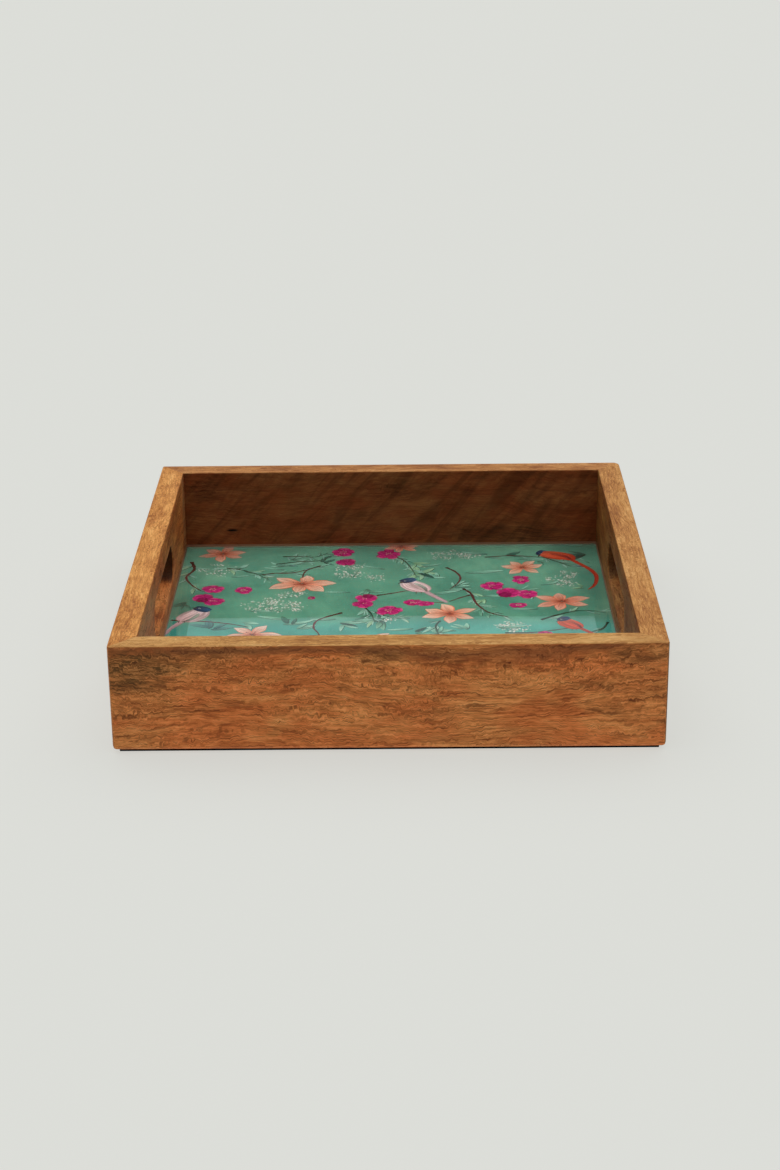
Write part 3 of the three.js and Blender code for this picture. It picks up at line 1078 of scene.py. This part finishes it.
# all lengths in a bird are for size 1
def addBird(head, chest, rump, tail, tint, size):
    tints = birdTints[tint]
    head, chest, rump = Vector(head), Vector(chest), Vector(rump)
    tail = [Vector(p) for p in tail]

    def tailWidth(t):
        return size * (1.5 - 0.7 * t) * (1 - t**12) + 0.05

    def bodyWidth(t):
        return size * 6.6 * math.sin(math.pi * min(0.16 + t * 0.80, 1)) ** 0.75

    def headWidth(t):
        return size * 3.3 * math.sin(math.pi * min(0.12 + 0.76 * t, 1)) ** 0.6

    for side in (-0.8, 0.8):
        feather = [rump]
        for i, p in enumerate(tail):
            feather.append(p + Vector((side * size * 0.6 * i / len(tail), side * size * 0.4)))
        addStroke("feather", feather, tailWidth, tints["tail"], 18, 4)
    body = [head, chest, rump, (rump + tail[0]) / 2]
    addStroke("feather", body, bodyWidth, tints["body"], 16, 8)
    down = (rump - head).normalized()
    out = Vector((-down.y, down.x))
    if out.x > 0:
        out = -out
    for i in range(6):
        root = head.lerp(rump, 0.30 + 0.05 * i) - out * size * (1.2 + 0.25 * i)
        tip = rump.lerp(tail[0], 0.15 + 0.09 * i) - out * size * (2.0 - 0.35 * i)
        wing = [root, root.lerp(tip, 0.5) - out * 0.8 * size, tip]
        addStroke("feather", wing, leafWidth(1.15 * size), tints["wing"], 10, 4)
    crown = head + Vector((0, 1.2 * size))
    cap = [crown - out * 4.6 * size, crown, crown + out * 4.4 * size]
    addStroke("feather", cap, headWidth, tints["head"][::-1], 12, 6)
    beak = crown + out * 3.2 * size + Vector((0, -0.4 * size))
    point = beak + out * 3.4 * size + Vector((0, -0.9 * size))
    addStroke("feather", [beak, point], taper(size, 0.05), beakTints, 4, 2)
    eye = crown + out * 1.7 * size + Vector((0, 0.3 * size))
    for radius, eyeTint in zip((0.62, 0.38), eyeTints):
        addDot("feather", eye, radius * size, eyeTint, 10)
    for i in (-1, 1):
        hip = rump + Vector((i * 1.2 * size, -2.6 * size)) + out * 2.0 * size
        foot = hip + Vector((i * 0.4, -2.6 * size))
        addStroke("feather", [hip, foot], 0.22 * size, legTints, 3, 1)


# where the motifs lie on the sheet, in millimetres from its middle
sprays = [
    ((-75, 34), 20, 46, 13), ((-112, 96), 13, 20, 10), ((-26, 92), 11, 26, 13),
    ((42, 121), 17, 30, 9), ((112, 76), 13, 26, 15), ((75, -2), 10, 24, 9), ((-10, 80), 7, 8, 8),
    ((-62, 52), 9, 10, 6), ((-2, 12), 8, 8, 6), ((-118, -40), 12, 22, 12), ((-40, -60), 15, 30, 11),
    ((25, -75), 13, 26, 11), ((95, -48), 12, 22, 12), ((-82, -100), 13, 24, 11),
    ((70, -122), 14, 26, 9), ((-5, -125), 12, 20, 8), ((125, -85), 9, 14, 12),
]
twigs = [
    ([(-136, 12), (-128, 11), (-112, 9), (-98, 5), (-87, 0)], 0.75, "bark", 0),
    ([(-132, 112), (-129, 98), (-133, 84), (-128, 70), (-121, 60)], 0.9, "bark", 9),
    ([(-84, 87), (-76, 90), (-66, 90), (-56, 95), (-46, 103)], 0.55, "bark", 11),
    ([(-46, 103), (-54, 96), (-57, 88), (-57, 78)], 0.5, "bark", 0),
    ([(-108, 100), (-97, 96), (-88, 89), (-80, 80)], 0.45, "green", 6),
    ([(-72, 120), (-60, 120), (-50, 119), (-42, 126)], 0.55, "green", 8),
    ([(-76, 106), (-62, 110), (-48, 112), (-40, 120)], 0.5, "green", 9),
    ([(0, 120), (8, 112), (13, 98), (16, 84)], 0.5, "green", 5),
    ([(36, 98), (42, 90), (45, 80), (43, 70), (38, 60)], 0.7, "bark", 0),
    ([(-9, 50), (2, 54), (12, 58), (22, 57)], 0.6, "bark", 0),
    ([(46, 61), (51, 52), (53, 40), (56, 30), (62, 20), (73, 13)], 0.75, "bark", 10),
    ([(51, 50), (44, 45), (37, 39)], 0.6, "bark", 0),
    ([(14, 36), (24, 38), (34, 37)], 0.4, "bark", 0),
    ([(-30, 22), (-40, 15), (-46, 8), (-47, -2), (-44, -10), (-42, -20)], 0.7, "bark", 0),
    ([(31, 8), (28, 0), (29, -10), (31, -20)], 0.55, "green", 6),
    ([(93, 8), (104, 16), (116, 22), (126, 22), (134, 18)], 0.75, "green", 12),
    ([(70, -12), (84, -12), (98, -9), (110, -5)], 0.55, "bark", 0),
    ([(134, 4), (130, -6), (122, -12), (116, -18)], 0.6, "green", 10),
    ([(62, 116), (74, 118), (86, 118), (96, 116)], 0.5, "bark", 9),
    ([(100, 116), (110, 106), (118, 98)], 0.5, "green", 8),
    ([(70, 58), (80, 58), (88, 54)], 0.4, "green", 7),
    ([(-16, 30), (-12, 20), (-10, 8)], 0.5, "green", 5),
    ([(-10, 22), (0, 14), (8, 12)], 0.4, "green", 7),
    ([(-132, -30), (-122, -44), (-120, -60), (-112, -72)], 0.75, "bark", 9),
    ([(-112, -80), (-98, -90), (-92, -104), (-80, -116), (-66, -120)], 0.7, "bark", 9),
    ([(-72, -40), (-60, -52), (-58, -66), (-66, -80)], 0.6, "bark", 8),
    ([(-42, -20), (-30, -34), (-14, -42), (4, -42)], 0.6, "bark", 10),
    ([(-34, -82), (-24, -94), (-26, -108), (-36, -120)], 0.65, "bark", 8),
    ([(31, -20), (36, -34), (48, -46), (60, -56)], 0.6, "green", 8),
    ([(0, -92), (14, -98), (30, -100), (44, -94), (60, -98)], 0.7, "bark", 10),
    ([(60, -60), (72, -72), (88, -76), (104, -72)], 0.6, "bark", 9),
    ([(132, -34), (122, -46), (120, -60), (126, -72)], 0.6, "bark", 9),
    ([(92, -96), (102, -106), (108, -118), (104, -130)], 0.6, "green", 8),
    ([(-132, -112), (-120, -118), (-112, -128)], 0.5, "green", 7),
]
lilies = [
    ((-112, 126), 16, 0.35, 0.84, "coral"), ((-57, 71), 22, 0.25, 0.66, "peach"),
    ((-84, -12), 17, 0.12, 0.8, "pale"), ((37, 19), 18, 0.45, 0.8, "peach"),
    ((86, 97), 15, 0.05, 0.84, "peach"), ((108, 38), 18, 0.52, 0.8, "coral"),
    ((-10, -22), 15, 0.20, 0.76, "pale"), ((7, 136), 12, 0.3, 0.8, "coral"),
    ((-108, -78), 17, 0.3, 0.8, "peach"), ((-56, -124), 16, 0.1, 0.76, "coral"),
    ((-22, -88), 18, 0.5, 0.8, "peach"), ((64, -62), 18, 0.15, 0.8, "pale"),
    ((112, -112), 17, 0.4, 0.8, "peach"), ((32, -126), 15, 0.25, 0.85, "peach"),
]
blossoms = [
    ((-32, 127), 8, 0.2, 1.0), ((-30, 109), 7, 0.6, 0.85), ((-2, 123), 7.5, 0.1, 1.2),
    ((-114, 63), 7, 0.3, 1.0), ((-119, 48), 7.5, 0.9, 0.9), ((-112, 42), 7, 0.4, 0.9),
    ((-94, 61), 6, 1.0, 1.0), ((-15, 46), 7.5, 0.3, 0.85), ((-17, 36), 7, 0.8, 0.85),
    ((-1, 25), 8, 0.2, 0.95), ((14, 38), 6, 0.6, 0.8), ((22, 36), 5, 0.1, 0.8),
    ((65, 65), 7.5, 0.5, 1.0), ((84, 75), 5.5, 0.9, 1.3), ((75, 53), 8, 0.3, 0.95),
    ((87, 50), 7, 0.7, 1.0), ((80, 32), 5.5, 0.2, 0.75), ((-50, 47), 2.6, 0.2, 1.0),
    ((94, -14), 4.5, 0.2, 0.9), ((-90, -52), 7, 0.3, 1.0), ((-80, -46), 6, 0.8, 1.0),
    ((-126, -102), 7.5, 0.4, 1.0), ((-96, -124), 7, 0.6, 0.95), ((10, -52), 7.5, 0.1, 1.0),
    ((20, -46), 6, 0.5, 0.9), ((-48, -92), 7, 0.2, 1.0), ((92, -90), 7.5, 0.7, 1.0),
    ((84, -100), 6.5, 0.1, 1.0), ((120, -24), 6.5, 0.3, 1.0), ((128, -30), 5.5, 0.9, 1.0),
    ((4, -110), 7, 0.4, 1.0), ((62, -104), 6.5, 0.8, 1.0),
]
leafClusters = [
    ((-66, 115), 3, 1, 12), ((-69, 102), 2, 1, 12), ((-82, 88), 3, 0, 10), ((15, 106), 3, 3, 12),
    ((19, 88), 7, 3, 15), ((31, 82), 3, 1, 11), ((-15, 60), 3, 0, 11), ((40, 64), 4, 1, 11),
    ((60, 22), 3, 0, 10), ((-30, 5), 4, 1, 14), ((-56, -3), 3, 1, 11), ((-6, 8), 5, 0, 14),
    ((30, -12), 5, 1, 12), ((46, -5), 3, 1, 12), ((16, -10), 3, 0, 11), ((-90, 7), 2, 1, 12),
    ((-110, -2), 4, 4, 16), ((-62, 5), 2, 2, 12), ((60, 42), 3, 3, 10), ((58, 60), 3, 1, 9),
    ((98, 108), 3, 0, 9), ((128, 118), 3, 2, 14), ((-46, 108), 3, 2, 10), ((-130, 40), 3, 2, 12),
    ((78, 118), 2, 2, 12), ((124, 62), 3, 3, 8), ((-100, -60), 3, 1, 13), ((-70, -66), 3, 0, 12),
    ((-20, -56), 3, 1, 12), ((44, -30), 3, 2, 12), ((84, -34), 4, 1, 13), ((10, -72), 3, 3, 12),
    ((-48, -108), 3, 1, 12), ((76, -84), 3, 2, 12), ((118, -60), 3, 0, 12),
    ((-120, -122), 3, 1, 12), ((18, -112), 3, 0, 12), ((90, -124), 3, 1, 12), ((-6, -76), 3, 2, 12),
    ((-134, -72), 3, 4, 12),
]
slenderLeaves = [
    ((-76, 103), 0.15, 22), ((-70, 96), 2.9, 14), ((-50, 100), 0.5, 12), ((-98, 100), 3.0, 20),
    ((-104, 84), 0.1, 12), ((-62, 12), 3.0, 22), ((-66, 4), 0.1, 20), ((-34, 12), 3.3, 16),
    ((-24, 8), 0.2, 17), ((-14, 12), 0.4, 15), ((12, 12), 2.9, 14), ((26, 52), 0.2, 20),
    ((34, 58), 0.3, 18), ((58, 48), 0.1, 16), ((16, 84), 5.9, 20), ((-4, 96), 2.8, 15),
    ((20, 100), 0.3, 14), ((92, 26), 3.1, 16), ((66, -4), 0.1, 18), ((40, -8), 3.0, 20),
    ((14, -4), 3.4, 16), ((96, 66), 0.2, 15), ((48, 88), 0.1, 26), ((130, 104), 2.2, 12),
    ((-88, 26), 0.1, 14), ((-26, 56), 3.0, 16), ((84, 112), 0.1, 18), ((64, 122), 3.1, 18),
    ((-94, -30), 0.3, 16), ((50, -70), 0.2, 18),
]
birds = [
    ((-118, 28), (-121, 21), (-127, 13), [(-131, 6), (-135, -2), (-138, -12)], "rose", 1.25),
    ((11, 74), (14, 67), (20, 60), [(25, 52), (30, 45), (36, 37)], "rose", 1.2),
    ((100, 122), (107, 119), (116, 115),
        [(123, 104), (130, 92), (133, 80), (131, 66), (126, 57)], "red", 1.05),
    ((107, 8), (109, 3), (114, -3), [(119, -9), (123, -14), (127, -20)], "red", 0.95),
    ((-64, -30), (-66, -37), (-62, -45), [(-56, -53), (-51, -60), (-47, -68)], "rose", 1.1),
    ((42, -86), (45, -92), (52, -98), [(60, -106), (66, -114), (70, -124)], "red", 1.05),
]

for place, spread, count, height in sprays:
    addSpray(place, spread, count, height)
for points, thick, tint, leaves in twigs:
    addTwig(points, thick, tint, leaves)
for place, count, tint, length in leafClusters:
    turn = dice.uniform(0, 6.28)
    for i in range(count):
        root = polar(place, dice.uniform(0, 6.28), 1.5)
        addLeaf(root, turn + i * dice.uniform(0.55, 0.95), length * dice.uniform(0.75, 1.1), tint)
for lily in lilies:
    addLily(*lily)
for blossom in blossoms:
    addBlossom(*blossom)
for place, angle, length in slenderLeaves:
    addLeaf(place, angle, length, tint=1, width=length * 0.085)
    addStroke("leaf", [place, polar(place, angle, length * 0.9)], 0.16, leafRib, 6, 1)
for bird in birds:
    addBird(*bird)


def finishLayer(kind, layer):
    shape = layer.shape
    for way in (Vector((1, 0, 0)), Vector((-1, 0, 0)), Vector((0, 1, 0)), Vector((0, -1, 0))):
        cutPlane(shape, way * (sheetHalf - 0.02 * mm), way, 1e-8)
    for face in shape.faces:
        if face.normal.z < 0:
            face.normal_flip()
    made = asObject("print_" + kind, shape, [motifMaterial(kind, motifLooks[kind])])
    thick = made.modifiers.new("paintFilm", "SOLIDIFY")
    thick.thickness, thick.offset = 0.0003 * mm, -1
    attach(made, "root")


for kind, layer in layers.items():
    finishLayer(kind, layer)


def makeSheet():
    shape = flatSquare(sheetHalf, sheetTop)
    pullOut(shape, shape.faces[:], (0, 0, sheetLow.z - sheetTop))
    made = asObject("print_ground", shape, [sheetMaterial(sheetValues)])
    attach(made, "root")
    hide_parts("printed_sheet")


makeSheet()
print("print:", len(lilies), "lilies,", len(blossoms), "blossoms,", len(birds), "birds")

# resin, poured over the print and drawn up a little at the walls
resinValues = {
    "creep": 0.25 * mm,
    "reach": 1.2 * mm,
    "steps": 6,
    "roughness": 0.02,
    "ior": 1.5,
    "shadowTint": (0.97, 0.98, 0.975, 1),
}


def resinMaterial(values):
    material, tree, shader = newMaterial("clearResin")
    shader.inputs["Base Color"].default_value = (1, 1, 1, 1)
    shader.inputs["Roughness"].default_value = values["roughness"]
    shader.inputs["IOR"].default_value = values["ior"]
    shader.inputs["Transmission Weight"].default_value = 1
    ripple = noiseAt(tree, objectPlace(tree), 0.02, 1.0, 0.4)
    addBump(tree, shader, ripple, 0.25, 0.0006)
    # light falls through it onto the print without being bent
    clear = putNode(tree, "ShaderNodeBsdfTransparent", {"Color": values["shadowTint"]})
    path = putNode(tree, "ShaderNodeLightPath").outputs["Is Shadow Ray"]
    mix = putNode(tree, "ShaderNodeMixShader", {0: path, 1: shader.outputs[0], 2: clear.outputs[0]})
    feed(tree, tree.nodes["Material Output"].inputs["Surface"], mix.outputs[0])
    return material


def makeResin(values):
    low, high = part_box("resin_coat")
    reach, steps = values["reach"], values["steps"]
    shape = flatSquare(high.x, high.z)
    top = shape.faces[:]
    for i in range(steps):
        bmesh.ops.inset_region(shape, faces=top, thickness=reach / steps, use_even_offset=True)
    for vert in shape.verts:
        inward = high.x - max(abs(vert.co.x), abs(vert.co.y))
        if inward < reach:
            vert.co.z += values["creep"] * (1 - inward / reach) ** 2.4
    rim = [edge for edge in shape.edges if edge.is_boundary]
    grown = bmesh.ops.extrude_edge_only(shape, edges=rim)
    for item in grown["geom"]:
        if isinstance(item, bmesh.types.BMVert):
            item.co.z = low.z
    bmesh.ops.holes_fill(shape, edges=[edge for edge in shape.edges if edge.is_boundary], sides=0)
    bmesh.ops.recalc_face_normals(shape, faces=shape.faces)
    made = asObject("resin_pour", shape, [resinMaterial(values)])
    shadeByAngle(made, 40)
    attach(made, "root")
    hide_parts("resin_coat")


makeResin(resinValues)
print("resin: one pour")

# small parts: grain is a noise's scale and its other values, bump its strength and distance
smallLooks = {
    "fibreboard": {
        "grain": ((0.9, 0.35, 0.9), 4.0, 0.7),
        "stops": [
            (0.3, (0.16, 0.095, 0.050)),
            (0.5, (0.27, 0.17, 0.095)),
            (0.7, (0.38, 0.26, 0.155)),
        ],
        "roughness": (0.72, 0.9),
        "bump": (0.3, 0.0002),
    },
    "nailSteel": {
        "grain": ((3, 3, 9), 3.0, 0.6),
        "stops": [(0.3, (0.30, 0.30, 0.31)), (0.7, (0.55, 0.55, 0.56))],
        "roughness": (0.28, 0.5),
        "Metallic": 1,
    },
    "woodFiller": {
        "grain": (2.4, 4.0, 0.7),
        "stops": [(0.3, (0.10, 0.038, 0.016)), (0.7, (0.19, 0.080, 0.034))],
        "roughness": (0.7, 0.9),
        "bump": (0.5, 0.0002),
    },
    # painted shadow: near-black felt that stands in for the dark gap under the tray's foot
    "shadowGapFelt": {
        "grain": (3.5, 5.0, 0.75, 1.2),
        "stops": [(0.35, (0.001, 0.001, 0.001)), (0.7, (0.007, 0.006, 0.006))],
        "roughness": (0.9, 1.0),
        "bump": (0.8, 0.0003),
        "Specular IOR Level": 0.0,
    },
}


def smallMaterial(name):
    values = smallLooks[name]
    material, tree, shader = newMaterial(name)
    grain = noiseAt(tree, objectPlace(tree), *values["grain"])
    feed(tree, shader.inputs["Base Color"], ramp(tree, grain, values["stops"]))
    feed(tree, shader.inputs["Roughness"], remap(tree, grain, 0.3, 0.7, *values["roughness"]))
    for socket in ("Metallic", "Specular IOR Level"):
        if socket in values:
            shader.inputs[socket].default_value = values[socket]
    if "bump" in values:
        addBump(tree, shader, grain, *values["bump"])
    return material


steel = smallMaterial("nailSteel")
nodeMaterials = {
    "base_board": smallMaterial("fibreboard"),
    "corner_nail": steel,
    "base_nail": steel,
    "filler_plug": smallMaterial("woodFiller"),
}
for name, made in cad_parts.items():
    for start, material in nodeMaterials.items():
        if name.startswith(start):
            for slot in made.material_slots:
                slot.material = material

# felt strips under the walls; their near-black is a painted shadow for the gap under the foot
felt = smallMaterial("shadowGapFelt")
feltRound = 0.12 * mm
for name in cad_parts:
    if not name.startswith("felt_strip"):
        continue
    low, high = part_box(name)
    shape = bmesh.new()
    bmesh.ops.create_cube(shape, size=1)
    bmesh.ops.scale(shape, verts=shape.verts, vec=high - low)
    bmesh.ops.translate(shape, verts=shape.verts, vec=(low + high) / 2)
    bevelEdges(shape, shape.edges[:], feltRound, 3)
    strip = asObject(name + "_cut", shape, [felt])
    shadeByAngle(strip, 50)
    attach(strip, "root")
    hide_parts(name)
print("small parts: board, nails, filler, felt strips")

# stage and light
stageValues = {
    "floor": (0.20, 0.203, 0.193),
    "glow": (0.56, 0.567, 0.538),  # the table is lit from below, which keeps shadows faint
    "reach": 60.0,
    "sunStrength": 1.9,
    "sunSpread": 100,
    "sunTilt": -12,
    "skyBack": 0.36,
    "skyFront": 0.08,
}


def makeFloor(values):
    shape = flatSquare(values["reach"], cadLow.z)
    material, tree, shader = newMaterial("paleFloor")
    shader.inputs["Base Color"].default_value = (*values["floor"], 1)
    shader.inputs["Roughness"].default_value = 0.9
    shader.inputs["Specular IOR Level"].default_value = 0.0
    shader.inputs["Emission Color"].default_value = (*values["glow"], 1)
    shader.inputs["Emission Strength"].default_value = 1
    asObject("floor", shape, [material])


def makeLight(values):
    data = bpy.data.lights.new("overheadSoftbox", "SUN")
    data.energy = values["sunStrength"]
    data.angle = math.radians(values["sunSpread"])
    lamp = bpy.data.objects.new("overheadSoftbox", data)
    lamp.rotation_euler = (math.radians(values["sunTilt"]), 0, 0)
    bpy.context.scene.collection.objects.link(lamp)
    world = bpy.data.worlds.new("studio")
    world.use_nodes = True
    bpy.context.scene.world = world
    tree = world.node_tree
    coords = putNode(tree, "ShaderNodeTexCoord").outputs["Generated"]
    back = remap(tree, partsOf(tree, coords)[1], -0.25, 0.5, values["skyFront"], values["skyBack"])
    parts = {0: back, 1: back, 2: times(tree, back, 0.98)}
    sky = putNode(tree, "ShaderNodeCombineXYZ", parts).outputs[0]
    feed(tree, tree.nodes["Background"].inputs[0], sky)
    tree.nodes["Background"].inputs[1].default_value = 1


makeFloor(stageValues)
makeLight(stageValues)
bpy.context.scene.view_settings.view_transform = "Standard"
print("stage: floor, soft overhead light, pale surroundings")
